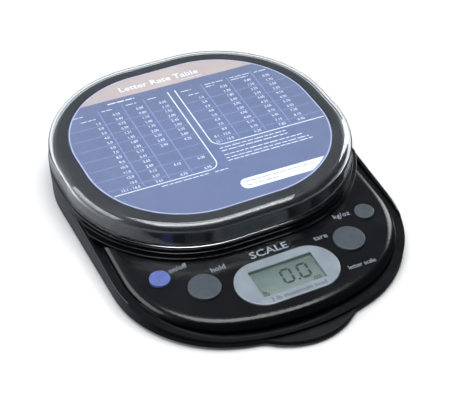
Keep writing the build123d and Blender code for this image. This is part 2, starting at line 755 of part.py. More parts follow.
with BuildPart() as contact_plates:
    for side in (-1, 1):
        with BuildSketch(Plane((side * CONTACT_X, BAY_Y, BATTERY_Z), z_dir=(side, 0, 0))):
            RectangleRounded(9, BAY[1] - 1, 1)
        extrude(amount=CONTACT_T)
finish(contact_plates, "contact_plates")

with BuildPart() as contact_springs:
    for side in (-1, 1):
        first = (-side * (CONTACT_X - COIL_WIRE_R - 0.02), BAY_Y + side * BATTERY_PITCH / 2, BATTERY_Z)
        with BuildLine() as coil:
            Helix(pitch=1.2, height=3.6, radius=2.8, center=first, direction=(side, 0, 0))
        with BuildSketch(Plane(origin=coil.line @ 0, z_dir=coil.line % 0)) as section:
            Circle(COIL_WIRE_R)
        sweep(section.sketch, path=coil.line, is_frenet=True)
finish(contact_springs, "contact_springs")

with BuildPart() as battery_leads:
    for x, gap in ((-18, 1.4), (-21, 0)):
        start_y = BAY_Y - BAY[1] / 2 - BAY_T - 0.1
        wire([(x, start_y, 8), (x, 31.5, 6 + gap), (x, -20.5, 7 + gap), (-14 - gap, -31.5, 9.1)], [20, 10], 0.6)
finish(battery_leads, "battery_leads")
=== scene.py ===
"""The looks of the letter scale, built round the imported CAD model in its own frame.

Lengths are in metres where no comment says millimetres, angles in degrees, and +Z is up. The
origin is on the table under the middle of the footprint, and the front of the scale, with its
keys, faces -Y.
"""
import json
import math
import random

import bmesh
import bpy
from mathutils import Matrix, Vector
from mathutils.bvhtree import BVHTree


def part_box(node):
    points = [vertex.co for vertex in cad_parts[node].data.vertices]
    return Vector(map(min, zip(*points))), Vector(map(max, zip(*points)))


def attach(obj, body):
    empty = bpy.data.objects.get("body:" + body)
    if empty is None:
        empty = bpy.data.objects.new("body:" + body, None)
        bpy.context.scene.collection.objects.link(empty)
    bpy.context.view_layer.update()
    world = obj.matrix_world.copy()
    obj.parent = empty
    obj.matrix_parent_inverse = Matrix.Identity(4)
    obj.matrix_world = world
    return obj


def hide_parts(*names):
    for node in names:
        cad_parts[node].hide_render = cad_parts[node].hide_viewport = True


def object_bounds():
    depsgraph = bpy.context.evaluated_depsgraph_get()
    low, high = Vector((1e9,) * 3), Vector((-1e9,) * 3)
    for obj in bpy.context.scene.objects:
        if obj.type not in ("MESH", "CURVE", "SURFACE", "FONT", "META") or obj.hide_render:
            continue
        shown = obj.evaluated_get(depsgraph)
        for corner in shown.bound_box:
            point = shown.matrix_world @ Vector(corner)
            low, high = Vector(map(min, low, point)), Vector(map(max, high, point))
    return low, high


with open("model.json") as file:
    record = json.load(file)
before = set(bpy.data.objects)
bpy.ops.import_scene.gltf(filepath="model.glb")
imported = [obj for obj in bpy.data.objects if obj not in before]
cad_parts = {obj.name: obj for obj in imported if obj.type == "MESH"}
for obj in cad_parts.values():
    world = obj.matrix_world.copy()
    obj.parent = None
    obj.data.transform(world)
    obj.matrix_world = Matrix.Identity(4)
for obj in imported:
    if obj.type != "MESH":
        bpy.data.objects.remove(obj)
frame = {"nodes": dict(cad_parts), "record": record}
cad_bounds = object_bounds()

MM = 0.001
SEED = 7

# The tray, the platform and the card share one plan: a core rectangle grown by a radius.
CORE_HALF_X = 13.0 * MM
CORE_HALF_Y = 6.8 * MM
QUARTER_STEPS = 28
SHARP_ANGLE = 32

# All print is a solid this thick, laid on the surface it is printed on.
PRINT_THICK = 0.02 * MM

# The camera: where it looks, from how far, and its lens.
CAMERA_AIM = Vector((-3.58, -6.36, 15.0)) * MM
CAMERA_DISTANCE = 614.4 * MM
CAMERA_AZIMUTH, CAMERA_ELEVATION, CAMERA_ROLL = -26.69, 40.85, 0.76
CAMERA_LENS, CAMERA_SENSOR = 106.8, 36.0

# The studio's walls glow more on the side that WALL_SIDE points to. WALL_SPAN is the range of
# directions over which the glow changes, WALL_GLOW its two ends, and DAYLIGHT its cold tint.
WALL_SIDE = (-0.5, 0.75, 0.3)
WALL_SPAN = (0.1, 0.95)
WALL_GLOW = (0.07, 0.55)
DAYLIGHT = (0.9, 0.98, 1.08)

# The soft lights: each one's place, aim, width, depth and radiance. LIGHT_POWER is the power
# that a square metre of soft light takes for a radiance of 1.
SOFTBOXES = {
    "overhead": ((0.0, -0.1, 0.9), (0.0, 0.0, 0.0), 0.9, 0.5, 5.0),
    "left_window": ((-0.9, 0.25, 0.35), (0.0, 0.0, 0.02), 0.9, 0.5, 2.6),
    "right_window": ((0.75, 0.35, 0.35), (0.0, 0.0, 0.02), 0.25, 0.5, 5.0),
}
LIGHT_POWER = 4
FLOOR_HALF = 4.0

# From here to the materials, lengths are in millimetres. On the card they are measured from
# the middle of its print, which is moved and turned a little from the card's own middle.
CARD_SHIFT = Vector((-0.8, 1.5, 0.0))
CARD_TURN = -1.7
PRINT_MARGIN = 1.3

# The pale band at the card's back, its title as in PANEL_WORDS below, and the pool of purer
# blue towards its front, which fades from POOL_NEAR to POOL_FAR with an edge that wanders.
BAND_Y, BAND_BLUR = 38.6, 0.05
TITLE = ("Letter Rate Table", -22.8, 18.6, 42.5, 5.2, 0.03)
POOL = Vector((8.0, -22.0, 0.0))
POOL_NEAR, POOL_FAR, POOL_WANDER = 10, 72, 30

# The two tables: their rows, the bright line beside each, its foot, and the side it lies on.
ROW_TOP, ROW_PITCH = 27.0, 3.87
LEFT_ROWS, RIGHT_ROWS = 15, 11
LEFT_COLUMNS = (-38.1, -25.7, -14.6)
RIGHT_COLUMNS = (16.0, 29.8, 42.9)
COLUMN_TOP, COLUMN_GAP = 33.0, 1.6
LEFT_BORDER, LEFT_FOOT = -1.5, -29.3
RIGHT_BORDER, RIGHT_FOOT = 2.3, -14.3
TABLE_EDGES = ((LEFT_BORDER, LEFT_FOOT, -1), (RIGHT_BORDER, RIGHT_FOOT, 1))
BORDER_RADIUS, BORDER_RISE = 5.0, 0.4
RULE_GAP = 1.4
BORDER_WIDTH, COLUMN_WIDTH, RULE_WIDTH = 0.5, 0.42, 0.3

# The tables' figures, drawn in sideways by DIGIT_NARROW and hung DIGIT_DROP below their row.
DIGIT_SIZE, DIGIT_NARROW, DIGIT_DROP = 2.5, 0.86, 0.85

# The small print: the height of its letters, then each line's left end, right end and y.
SMALL_PRINT = (
    (0.75, (
        (-51.0, -46.0, 31.2), (-48.6, -41.0, 27.0), (-36.4, -30.2, 31.4), (-23.8, -18.4, 31.6),
        (-12.6, -7.8, 31.8), (4.6, 10.0, 31.0), (7.0, 13.4, 26.9), (17.6, 28.2, 31.8),
        (17.6, 22.0, 29.9), (31.2, 42.0, 32.0), (31.2, 40.4, 30.2), (44.4, 51.2, 31.6),
    )),
    (1.25, ((-31.8, -18.0, 35.6),)),
    (0.8, ((-31.0, -8.0, LEFT_FOOT - 2.0), (-5.0, 1.4, LEFT_FOOT - 2.2))),
    (0.85, (
        (3.9, 38.3, -16.8), (3.9, 37.9, -19.0), (3.9, 44.0, -22.1), (3.9, 46.2, -24.5),
        (3.9, 47.3, -26.5),
    )),
    (0.5, ((9.0, 20.0, 40.4),)),
)
# Its words are bars, whose lengths and gaps are drawn at random from these ranges, and whose
# width is a share of the letters' height.
WORD_LENGTHS, WORD_GAPS = (1.6, 4.6), (0.5, 0.8)
SHORTEST_WORD = 0.5
BAR_SHARE = 0.55

# The white label near the card's front, and its two lines of small print. A line starts at
# LABEL_INDENT and ends at its RUN, both from the label's left end, and lies LABEL_INSET from
# the label's long edge.
LABEL_LEFT, LABEL_TOP, LABEL_BOTTOM = 2.0, -41.2, -48.2
LABEL_RADIUS, LABEL_STEPS = 3.2, 8
LABEL_INDENT, LABEL_INSET, LABEL_LETTER = 2.6, 2.2, 0.8
LABEL_TOP_RUN, LABEL_BOTTOM_RUN = 37.0, 18.5

# The words on the panel and the bezel: text, left and right end, baseline, size and weight.
PANEL_WORDS = {
    "label_on_off": ("on/off", -46.0, -37.4, -37.9, 4.0, 0.0),
    "label_hold": ("hold", -29.3, -22.6, -45.6, 4.0, 0.0),
    "label_tare": ("tare", 21.1, 27.9, -47.1, 4.0, 0.0),
    "label_units": ("kg/oz", 36.0, 44.4, -38.3, 4.0, 0.0),
    "label_scale": ("SCALE", -10.0, 8.6, -45.7, 5.4, 0.06),
    "label_use": ("letter scale", 26.6, 40.2, -68.7, 3.4, 0.0),
}
BEZEL_WORDS = ("3 lb maximum load", -13.5, 13.5, -72.1, 3.3, 0.0)

# The reading: two seven-segment noughts, the point between them, and a unit mark at each side.
# SEGMENT_GAP is a share of a bar's width, and POINT_AFTER the gap from the first nought.
NOUGHTS_LEFT = (-2.1, 6.0)
NOUGHT_WIDTH, NOUGHT_HEIGHT, NOUGHT_BASE = 4.4, 7.6, -63.7
NOUGHT_SLANT = 0.06
SEGMENT_WIDTH, SEGMENT_GAP = 1.2, 0.12
POINT_SIZE, POINT_AFTER = 1.0, 1.7
UNIT_MARKS = (("lb", -14.2), ("oz", 10.2))
UNIT_DROP, UNIT_SIZE, UNIT_WEIGHT = 3.2, 4.0, 0.02

# How much fine detail a wandering colour or roughness has, and a Mix node's colour sockets.
WANDER_DETAIL = 3.0
MIX_FACTOR, MIX_FIRST, MIX_SECOND, MIX_RESULT = 0, 6, 7, 2


# ---------------------------------------------------------------- materials


def linear(red, green, blue):
    """A colour given in display values from 0 to 255, as the linear colour that shaders take."""
    return tuple((c / 255) ** 2.2 for c in (red, green, blue)) + (1.0,)


def add_node(tree, kind, sockets=None, **settings):
    """A new node. A value in sockets is either another node's output or a plain value."""
    made = tree.nodes.new(kind)
    for key, value in settings.items():
        setattr(made, key, value)
    for key, value in (sockets or {}).items():
        if isinstance(value, bpy.types.NodeSocket):
            tree.links.new(value, made.inputs[key])
        else:
            made.inputs[key].default_value = value
    return made


class Finish:
    """A material with one Principled shader, and the calls that add its detail."""

    def __init__(self, name, roughness, **sockets):
        self.material = bpy.data.materials.new(name)
        self.material.use_nodes = True
        self.tree = self.material.node_tree
        self.shader = self.tree.nodes["Principled BSDF"]
        self.shader.inputs["Roughness"].default_value = roughness
        for socket, value in sockets.items():
            self.shader.inputs[socket.replace("_", " ")].default_value = value
        self.place = self.node("ShaderNodeTexCoord").outputs["Object"]

    def node(self, kind, sockets=None, **settings):
        return add_node(self.tree, kind, sockets, **settings)

    def noise(self, size, detail=2.0, stretch=(1.0, 1.0, 1.0)):
        """Soft noise about 0.5, in lumps about size across, drawn out on each axis by stretch."""
        shrink = tuple(1 / s for s in stretch)
        place = self.node("ShaderNodeMapping", {"Vector": self.place, "Scale": shrink}).outputs[0]
        sockets = {"Vector": place, "Scale": 1 / size, "Detail": detail}
        return self.node("ShaderNodeTexNoise", sockets).outputs[0]

    def remap(self, value, low, high, start=0.35, end=0.65):
        """value's range from start to end, made into low to high."""
        span = {"From Min": start, "From Max": end, "To Min": low, "To Max": high}
        return self.node("ShaderNodeMapRange", {"Value": value, **span}).outputs[0]

    def mix(self, factor, first, second):
        sockets = {MIX_FACTOR: factor, MIX_FIRST: first, MIX_SECOND: second}
        return self.node("ShaderNodeMix", sockets, data_type="RGBA").outputs[MIX_RESULT]

    def vector(self, operation, *values, output="Vector"):
        made = self.node("ShaderNodeVectorMath", dict(enumerate(values)), operation=operation)
        return made.outputs[output]

    def colour(self, socket):
        self.tree.links.new(socket, self.shader.inputs["Base Color"])
        return self

    def mottle(self, first, second, size):
        """The colour wanders between two near shades."""
        wander = self.remap(self.noise(size, WANDER_DETAIL), 0.0, 1.0)
        return self.colour(self.mix(wander, first, second))

    def gloss(self, low, high, size):
        """The roughness wanders between low and high, as on a surface that hands have touched."""
        value = self.remap(self.noise(size, WANDER_DETAIL), low, high)
        self.tree.links.new(value, self.shader.inputs["Roughness"])
        return self

    def relief(self, height, depth):
        """A bump of that depth, from a height that runs from 0 to 1."""
        bump = self.node("ShaderNodeBump", {"Height": height, "Distance": depth, "Strength": 1.0})
        self.tree.links.new(bump.outputs[0], self.shader.inputs["Normal"])
        return self

    def lets_light_through(self):
        """Shadow rays pass straight through, so that what lies under clear plastic is lit."""
        shadow = self.node("ShaderNodeLightPath").outputs["Is Shadow Ray"]
        open_air = self.node("ShaderNodeBsdfTransparent").outputs[0]
        sockets = {0: shadow, 1: self.shader.outputs[0], 2: open_air}
        chooser = self.node("ShaderNodeMixShader", sockets).outputs[0]
        self.tree.links.new(chooser, self.tree.nodes["Material Output"].inputs["Surface"])
        return self


def gloss_black():
    """Polished ABS moulding, with the faint orange peel of a moulded surface."""
    finish = Finish("gloss_black_abs", 0.16, IOR=1.46)
    finish.mottle(linear(7, 8, 11), linear(12, 13, 16), 30 * MM)
    finish.gloss(0.17, 0.24, 14 * MM)
    return finish.relief(finish.noise(1.6 * MM), 0.003 * MM)


def satin_black():
    """Spark-eroded ABS, as on the underside of a small appliance."""
    finish = Finish("satin_black_abs", 0.34, IOR=1.46)
    finish.mottle(linear(18, 19, 21), linear(26, 27, 29), 18 * MM)
    finish.gloss(0.3, 0.4, 8 * MM)
    return finish.relief(finish.noise(0.35 * MM), 0.012 * MM)


def clear_plastic():
    """Polystyrene, clear with a cold tint."""
    finish = Finish("clear_styrene", 0.02, IOR=1.52, Transmission_Weight=1.0)
    finish.mottle((0.88, 0.93, 0.96, 1.0), (0.91, 0.95, 0.975, 1.0), 25 * MM)
    finish.relief(finish.noise(14 * MM, 1.0), 0.01 * MM)
    return finish.lets_light_through()


def silver_blue():
    finish = Finish("silver_blue_bezel", 0.32, Metallic=0.25)
    finish.mottle(linear(136, 146, 156), linear(147, 157, 166), 9 * MM)
    return finish.relief(finish.noise(0.25 * MM), 0.004 * MM)


def key_plastic(name, first, second):
    finish = Finish(name, 0.36)
    finish.mottle(first, second, 3.0 * MM)
    finish.gloss(0.3, 0.44, 2.5 * MM)
    return finish.relief(finish.noise(0.3 * MM), 0.006 * MM)


def white_plastic():
    finish = Finish("white_nylon", 0.5)
    finish.mottle(linear(214, 212, 204), linear(226, 224, 218), 4 * MM)
    return finish.relief(finish.noise(0.4 * MM), 0.01 * MM)


def lcd_glass():
    """A reflective liquid crystal, grey-green, with painted shade from the bezel darkening it
    towards its top edge.
    """
    finish = Finish("lcd_cell", 0.28)
    low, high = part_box("lcd_glass")
    y = finish.node("ShaderNodeSeparateXYZ", {0: finish.place}).outputs[1]
    # painted shade: 0 at the crystal's bottom edge, 1 at its top edge under the bezel
    bezel_shade = finish.remap(y, 0.0, 1.0, low.y, high.y)
    blotches = finish.remap(finish.noise(5 * MM), 0.0, 1.0)
    front = finish.mix(blotches, linear(101, 112, 106), linear(94, 105, 99))
    # the painted bezel shade blends the top edge to a darker grey-green
    return finish.colour(finish.mix(bezel_shade, front, linear(70, 82, 76)))


def paper_card():
    finish = Finish("card_edge", 0.5)
    return finish.mottle(linear(206, 202, 214), linear(222, 219, 230), 6 * MM)


def rubber():
    finish = Finish("foot_rubber", 0.75)
    finish.mottle(linear(30, 30, 31), linear(44, 44, 45), 2 * MM)
    return finish.relief(finish.noise(0.3 * MM), 0.02 * MM)


def circuit_board():
    finish = Finish("board_mask", 0.35)
    finish.mottle(linear(22, 78, 46), linear(30, 96, 58), 3 * MM)
    return finish.relief(finish.noise(0.8 * MM, 1.0, (1.0, 6.0, 1.0)), 0.01 * MM)


def component():
    finish = Finish("component_epoxy", 0.5)
    return finish.mottle(linear(28, 28, 30), linear(50, 49, 50), 1.5 * MM)


def metal(name, first, second, low, high, grain):
    """Bare metal, with a roughness from low to high and its scratches drawn out by grain."""
    finish = Finish(name, low, Metallic=1.0)
    finish.mottle(first, second, 3 * MM)
    finish.gloss(low, high, 2 * MM)
    return finish.relief(finish.noise(0.2 * MM, 2.0, grain), 0.004 * MM)


def gauge_film():
    finish = Finish("gauge_film", 0.3)
    return finish.mottle(linear(186, 140, 60), linear(206, 160, 80), 1.5 * MM)


def battery_sleeve():
    finish = Finish("battery_sleeve", 0.3)
    return finish.mottle(linear(46, 60, 84), linear(60, 76, 102), 10 * MM)


def cable_jacket():
    finish = Finish("cable_jacket", 0.5)
    return finish.mottle(linear(150, 30, 26), linear(172, 42, 34), 5 * MM)


SLOT_FINISHES = {
    "gloss_black": gloss_black(),
    "satin_black": satin_black(),
    "clear_plastic": clear_plastic(),
    "silver_blue": silver_blue(),
    "grey_key": key_plastic("grey_key_abs", linear(64, 72, 79), linear(71, 79, 86)),
    "blue_key": key_plastic("blue_key_abs", linear(86, 100, 164), linear(95, 111, 174)),
    "white_plastic": white_plastic(),
    "lcd": lcd_glass(),
    "card": paper_card(),
    "rubber": rubber(),
    "board": circuit_board(),
    "component": component(),
    "aluminium": metal(
        "milled_aluminium", linear(178, 180, 184), linear(196, 198, 202), 0.28, 0.4, (1, 20, 1)
    ),
    "gauge_film": gauge_film(),
    "steel": metal(
        "nickel_steel", linear(150, 150, 152), linear(182, 182, 184), 0.22, 0.36, (1, 1, 4)
    ),
    "battery_sleeve": battery_sleeve(),
    "cable": cable_jacket(),
}


def rate_card_print():
    """The card's printed face: a pale band at the back, and a blue that is purest round POOL."""
    finish = Finish("rate_card_ink", 0.4)
    centre = card_place().to_translation()
    turn = {"Vector": finish.place, "Center": centre, "Angle": -math.radians(CARD_TURN)}
    turned = finish.node("ShaderNodeVectorRotate", turn, rotation_type="Z_AXIS").outputs[0]
    away = finish.vector("SUBTRACT", turned, centre)
    y = finish.node("ShaderNodeSeparateXYZ", {0: away}).outputs[1]
    offset = finish.vector("SUBTRACT", away, POOL * MM)
    distance = finish.vector("LENGTH", offset, output="Value")
    ragged = {0: finish.noise(16 * MM, WANDER_DETAIL), 1: POOL_WANDER * MM, 2: distance}
    blur = finish.node("ShaderNodeMath", ragged, operation="MULTIPLY_ADD").outputs[0]
    pool = finish.remap(blur, 0.0, 1.0, POOL_NEAR * MM, POOL_FAR * MM)
    blue = finish.mix(pool, linear(79, 90, 121), linear(83, 90, 118))
    blotches = finish.remap(finish.noise(20 * MM), 0.0, 1.0)
    band = finish.mix(blotches, linear(152, 138, 138), linear(158, 144, 139))
    edge = BAND_BLUR * MM
    behind = finish.remap(y, 0.0, 1.0, BAND_Y * MM - edge, BAND_Y * MM + edge)
    finish.colour(finish.mix(behind, blue, band))
    return finish.relief(finish.noise(0.5 * MM), 0.003 * MM)


def ink(name, first, second):
    finish = Finish(name, 0.45)
    return finish.mottle(first, second, 2.5 * MM)


# ---------------------------------------------------------------- mesh helpers


def to_piece(name, bm, finish, body, smooth=False):
    """A finished mesh as a visible piece that rides on a CAD body."""
    bmesh.ops.remove_doubles(bm, verts=bm.verts, dist=0.0005 * MM)
    bmesh.ops.recalc_face_normals(bm, faces=bm.faces)
    mesh = bpy.data.meshes.new(name)
    bm.to_mesh(mesh)
    bm.free()
    mesh.materials.append(finish.material)
    mesh.polygons.foreach_set("use_smooth", [smooth] * len(mesh.polygons))
    if smooth:
        mesh.set_sharp_from_angle(angle=math.radians(SHARP_ANGLE))
    piece = bpy.data.objects.new(name, mesh)
    bpy.context.scene.collection.objects.link(piece)
    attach(piece, body)
    return piece


def plan_ring(centre, radius, z):
    """The points round the shared plan at one radius and height."""
    points = []
    for quarter, (side_x, side_y) in enumerate(((1, 1), (-1, 1), (-1, -1), (1, -1))):
        for step in range(QUARTER_STEPS + 1):
            angle = math.radians(90 * (quarter + step / QUARTER_STEPS))
            x = centre.x + side_x * CORE_HALF_X + radius * math.cos(angle)
            y = centre.y + side_y * CORE_HALF_Y + radius * math.sin(angle)
            points.append(Vector((x, y, z)))
    return points


def bridge(bm, one, other):
    """Quads between two rings of vertices."""
    for k in range(len(one)):
        after = (k + 1) % len(one)
        bm.faces.new((one[k], one[after], other[after], other[k]))


def loft(bm, rings):
    """Quads between neighbouring rings, and a face across the first and the last."""
    loops = [[bm.verts.new(p) for p in ring] for ring in rings]
    for lower, upper in zip(loops, loops[1:]):
        bridge(bm, lower, upper)
    bm.faces.new(loops[0])
    bm.faces.new(loops[-1])


def fillet(centre_radius, centre_z, radius, start, end, steps=8):
    """(radius, z) points round an arc in the section of a ring, between two angles."""
    angles = [math.radians(start + (end - start) * k / steps) for k in range(steps + 1)]
    return [(centre_radius + radius * math.cos(a), centre_z + radius * math.sin(a)) for a in angles]


def prism(bm, outline):
    """A flat outline in millimetres, made into a solid as thick as print."""
    low = [bm.verts.new((x * MM, y * MM, 0.0)) for x, y in outline]
    high = [bm.verts.new((x * MM, y * MM, PRINT_THICK)) for x, y in outline]
    bm.faces.new(low[::-1])
    bm.faces.new(high)
    bridge(bm, low, high)


def stroke(bm, points, width):
    """A ribbon of even width along a path of points in millimetres."""
    left, right = [], []
    for k, point in enumerate(points):
        before, after = points[max(k - 1, 0)], points[min(k + 1, len(points) - 1)]
        along = (Vector(after) - Vector(before)).normalized()
        across = Vector((-along.y, along.x)) * width / 2
        left.append(Vector(point) + across)
        right.append(Vector(point) - across)
    prism(bm, left + right[::-1])


def add_lettering(bm, words, x, y, size, align="LEFT", weight=0.0, narrow=1.0, width=None):
    """Adds words as a thin solid, with their baseline at (x, y) millimetres.

    narrow draws the letters in sideways. A width takes its place, and is how long the words run.
    """
    curve = bpy.data.curves.new("words", "FONT")
    curve.body = words
    curve.size = size
    curve.align_x = align
    curve.offset = weight
    curve.extrude = PRINT_THICK / MM / 2
    curve.resolution_u = 2
    holder = bpy.data.objects.new("words", curve)
    mesh = bpy.data.meshes.new_from_object(holder)
    bpy.data.objects.remove(holder)
    bpy.data.curves.remove(curve)
    letters = bmesh.new()
    letters.from_mesh(mesh)
    if width:
        reach = [v.co.x for v in letters.verts]
        narrow = width / (max(reach) - min(reach))
    draw_in = Matrix.Diagonal((narrow, 1.0, 1.0, 1.0))
    bmesh.ops.transform(letters, matrix=draw_in, verts=letters.verts)
    bmesh.ops.translate(letters, vec=(x, y, PRINT_THICK / MM / 2), verts=letters.verts)
    bmesh.ops.scale(letters, vec=(MM, MM, MM), verts=letters.verts)
    letters.to_mesh(mesh)
    letters.free()
    bm.from_mesh(mesh)
    bpy.data.meshes.remove(mesh)


def surface_of(node):
    """A CAD node's surface, for finding the height of what lies on it."""
    mesh = frame["nodes"][node].data
    points = [v.co for v in mesh.vertices]
    return BVHTree.FromPolygons(points, [p.vertices for p in mesh.polygons])


def drape(bm, surface):
    """Lifts a flat mesh onto a surface, point by point, to where a ray from above meets it."""
    sky, down = cad_bounds[1].z, Vector((0.0, 0.0, -1.0))
    for vert in bm.verts:
        hit = surface.ray_cast(Vector((vert.co.x, vert.co.y, sky)), down)[0]
        vert.co.z += hit.z


def words_on(name, line, node, finish):
    """One line of plain words, printed on a CAD node of the housing."""
    text, left, right, base, size, weight = line
    bm = bmesh.new()
    add_lettering(bm, text, left, base, size, weight=weight, width=right - left)
    drape(bm, surface_of(node))
    to_piece(name, bm, finish, "housing")


def middle_of(node):
    low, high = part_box(node)
    return (low + high) / 2


def plan_radius(node):
    """The radius that grows the shared plan's core to a node's outline."""
    low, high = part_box(node)
    return (high.x - low.x) / 2 - CORE_HALF_X


# ---------------------------------------------------------------- tray and card


def clear_tray():
    """The lift-off tray: a flat top, a round shoulder, a slightly drafted wall and a beaded rim."""
    low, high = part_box("clear_tray")
    outer = plan_radius("clear_tray")
    wall, top, shoulder = 1.8 * MM, 1.8 * MM, 5.0 * MM
    draft, bead = 0.5 * MM, 0.5 * MM
    step, flat = 0.12 * MM, 0.3 * MM
    card_pocket = plan_radius("rate_card") + 0.5 * MM
    heart = 0.4 * card_pocket
    waist = outer - draft
    inner_round = shoulder - wall
    inner_centre = waist - wall - inner_round
    ceiling = high.z - top
    lowered = ceiling - step
    bead_top = low.z + 2.5 * bead
    # inside, from the middle out and then down to the rim
    section = [(heart, ceiling), (card_pocket - step, ceiling)]
    section += [(card_pocket, lowered), (card_pocket + 4 * step, lowered)]
    section += [(inner_centre - flat, lowered)]
    section += fillet(inner_centre, lowered - inner_round, inner_round, 90, 0)
    section += [(outer - wall - bead / 2, bead_top)]
    section += fillet(outer - wall / 2 - bead / 4, low.z + bead, wall / 2 - bead / 4, 180, 270, 4)
    section = [(r, max(z, low.z)) for r, z in section]
    # outside, up from the rim and then back in to the middle
    section += fillet(outer - bead, low.z + bead, bead, 270, 360, 4)
    section += [(outer - bead / 3, bead_top)]
    section += fillet(waist - shoulder, high.z - shoulder, shoulder, 0, 90, 12)
    section += [(waist - shoulder - flat, high.z), (heart, high.z)]
    bm = bmesh.new()
    middle = middle_of("clear_tray")
    loft(bm, [plan_ring(middle, r, z) for r, z in section])
    plastic = SLOT_FINISHES["clear_plastic"]
    piece = to_piece("tray_shell", bm, plastic, "tray", smooth=True)
    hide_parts("clear_tray")


def card_place():
    """The matrix that takes the card's print from its own middle to the card's top face."""
    spot = middle_of("rate_card")
    spot.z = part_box("rate_card")[1].z
    turn = Matrix.Rotation(math.radians(CARD_TURN), 4, "Z")
    return Matrix.Translation(spot + CARD_SHIFT * MM) @ turn


def card_reach(x, y, side):
    """How far print may run from (x, y) millimetres to one side before the card's margin.

    The distance is found by halving, from one that is longer than the card.
    """
    place = card_place()
    middle = middle_of("rate_card")
    radius = plan_radius("rate_card") - PRINT_MARGIN * MM
    near, far, halvings = 0.0, 200.0, 24
    for _ in range(halvings):
        reach = (near + far) / 2
        spot = place @ Vector(((x + side * reach) * MM, y * MM, 0.0)) - middle
        over_x = max(abs(spot.x) - CORE_HALF_X, 0.0)
        over_y = max(abs(spot.y) - CORE_HALF_Y, 0.0)
        if math.hypot(over_x, over_y) < radius:
            near = reach
        else:
            far = reach
    return near


def print_piece(name, bm, finish):
    """Print on the card, which lies on it and rides with the platform."""
    bmesh.ops.transform(bm, matrix=card_place(), verts=bm.verts)
    return to_piece(name, bm, finish, "platform")


def rate_card():
    """The card itself: a thin slab with slightly rounded edges."""
    low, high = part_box("rate_card")
    radius = plan_radius("rate_card")
    soft, heart = 0.12 * MM, 0.3 * radius
    section = [(heart, low.z), (radius - soft, low.z), (radius, low.z + soft)]
    section += [(radius, high.z - soft), (radius - soft, high.z), (heart, high.z)]
    bm = bmesh.new()
    middle = middle_of("rate_card")
    loft(bm, [plan_ring(middle, r, z) for r, z in section])
    piece = to_piece("rate_card_sheet", bm, rate_card_print(), "platform")
    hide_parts("rate_card")


def card_rim():
    """The pale line round the card's face."""
    radius = plan_radius("rate_card")
    outer, inner = radius - 0.15 * MM, radius - 0.7 * MM
    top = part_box("rate_card")[1].z
    section = [(outer, top), (outer, top + PRINT_THICK), (inner, top + PRINT_THICK), (inner, top)]
    bm = bmesh.new()
    middle = middle_of("rate_card")
    loops = [[bm.verts.new(p) for p in plan_ring(middle, r, z)] for r, z in section]
    for one, other in zip(loops, loops[1:] + loops[:1]):
        bridge(bm, one, other)
    to_piece("card_rim", bm, RIM_INK, "platform")


RIM_INK = ink("card_rim_ink", linear(142, 146, 178), linear(156, 159, 188))
WHITE_INK = ink("white_ink", linear(190, 194, 210), linear(204, 207, 222))
FAINT_INK = ink("faint_ink", linear(104, 120, 158), linear(112, 127, 164))
DARK_INK = ink("dark_ink", linear(70, 78, 110), linear(88, 94, 124))


def card_borders():
    """The bright line down beside each table, round a corner and along its foot."""
    bm = bmesh.new()
    bend = [math.radians(a) for a in range(0, 91, 10)]
    for border, foot, side in TABLE_EDGES:
        corner = Vector((border + side * BORDER_RADIUS, foot + BORDER_RADIUS))
        path = [(border, COLUMN_TOP + BORDER_RISE)]
        path += [corner - BORDER_RADIUS * Vector((side * math.cos(a), math.sin(a))) for a in bend]
        path += [(corner.x + side * card_reach(corner.x, foot, side), foot)]
        stroke(bm, path, BORDER_WIDTH)
    print_piece("card_borders", bm, WHITE_INK)


def card_rules():
    """The faint lines between the columns, and under every other row."""
    bm = bmesh.new()
    for columns, foot in ((LEFT_COLUMNS, LEFT_FOOT), (RIGHT_COLUMNS, RIGHT_FOOT)):
        for x in columns:
            stroke(bm, [(x, COLUMN_TOP), (x, foot + COLUMN_GAP)], COLUMN_WIDTH)
    for border, foot, side in TABLE_EDGES:
        start = border + side * RULE_GAP
        y = ROW_TOP - 1.5 * ROW_PITCH
        while y > foot + ROW_PITCH / 2:
            stroke(bm, [(start, y), (start + side * card_reach(start, y, side), y)], RULE_WIDTH)
            y -= 2 * ROW_PITCH
    print_piece("card_rules", bm, FAINT_INK)


def column_words(first, growth, count, rows=None):
    """One column's figures, each worked out from its row number; rows are those that show."""
    shown = range(count) if rows is None else rows
    return [f"{first + growth * row:.2f}" if row in shown else "" for row in range(count)]


def card_figures():
    """The two tables' figures, in columns that end at the same right edge."""
    bm = bmesh.new()
    weights = [f"{w:.1f}" for w in range(1, 14)] + ["13.1 - 16.0"]
    right_weights = [f"{w:.1f}" for w in range(1, 9)] + ["8.1 - 12.0", "12.1 - 16.0"]
    sparse = set(range(9)) | {12, 14}
    # each column's right edge, its first row and its words
    columns = (
        (-39.8, 1, weights),
        (-28.7, 0, column_words(0.25, 0.24, LEFT_ROWS)),
        (-16.7, 0, column_words(0.5, 0.3, LEFT_ROWS, sparse)),
        (-4.8, 0, column_words(0.65, 0.45, LEFT_ROWS, sparse)),
        (13.4, 1, right_weights),
        (27.7, 0, column_words(0.75, 0.55, RIGHT_ROWS)),
        (40.6, 0, column_words(0.85, 0.7, RIGHT_ROWS)),
        (50.7, 0, column_words(0.9, 0.8, RIGHT_ROWS)),
    )
    for right, start_row, words in columns:
        for k, word in enumerate(words):
            if word:
                y = ROW_TOP - ROW_PITCH * (start_row + k) - DIGIT_DROP
                add_lettering(bm, word, right, y, DIGIT_SIZE, align="RIGHT", narrow=DIGIT_NARROW)
    print_piece("card_figures", bm, WHITE_INK)


def card_title():
    bm = bmesh.new()
    text, left, right, base, size, weight = TITLE
    add_lettering(bm, text, left, base, size, weight=weight, width=right - left)
    print_piece("card_title", bm, WHITE_INK)


def greeked(bm, left, right, y, height, rng):
    """A line of small print as a run of short bars, one for each word."""
    x = left
    while x < right:
        word = min(rng.uniform(*WORD_LENGTHS), right - x)
        if word > SHORTEST_WORD:
            stroke(bm, [(x, y), (x + word, y)], height * BAR_SHARE)
        x += word + rng.uniform(*WORD_GAPS)


